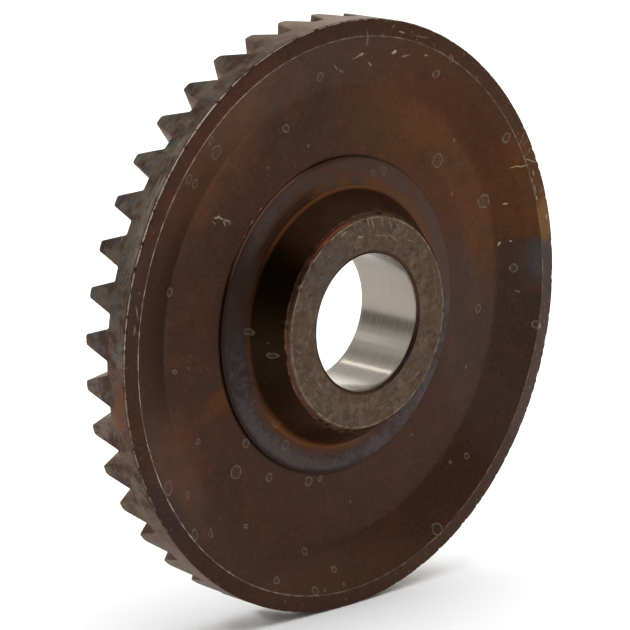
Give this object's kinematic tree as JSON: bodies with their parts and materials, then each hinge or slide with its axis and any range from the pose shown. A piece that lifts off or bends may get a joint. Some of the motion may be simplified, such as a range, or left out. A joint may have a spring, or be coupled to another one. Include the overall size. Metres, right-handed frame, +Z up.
{
  "type": "bevel crown wheel",
  "caption": "Straight-toothed bevel crown wheel with a dished back, a raised central boss and a smooth ground through bore, for a right-angle drive.",
  "frame": {"origin": "on the bore axis, in the plane of the rim's outer edge on the boss side", "axes": "Y is the gear axis: the boss faces -Y and the teeth point to +Y; +Z is up and +X is right as seen from the boss side"},
  "size_m": [0.0604, 0.0102, 0.0604],
  "materials": {
    "crown_wheel": "brown oxide over turned steel, worn bright at the edges",
    "flanged_hub": "dark purple-brown oxide, worn grey on the boss face",
    "bore_bush": "fine ground satin"
  },
  "bodies": {
    "wheel": {"crown_wheel": "crown_wheel", "flanged_hub": "flanged_hub", "bore_bush": "bore_bush"}
  },
  "joints": []
}
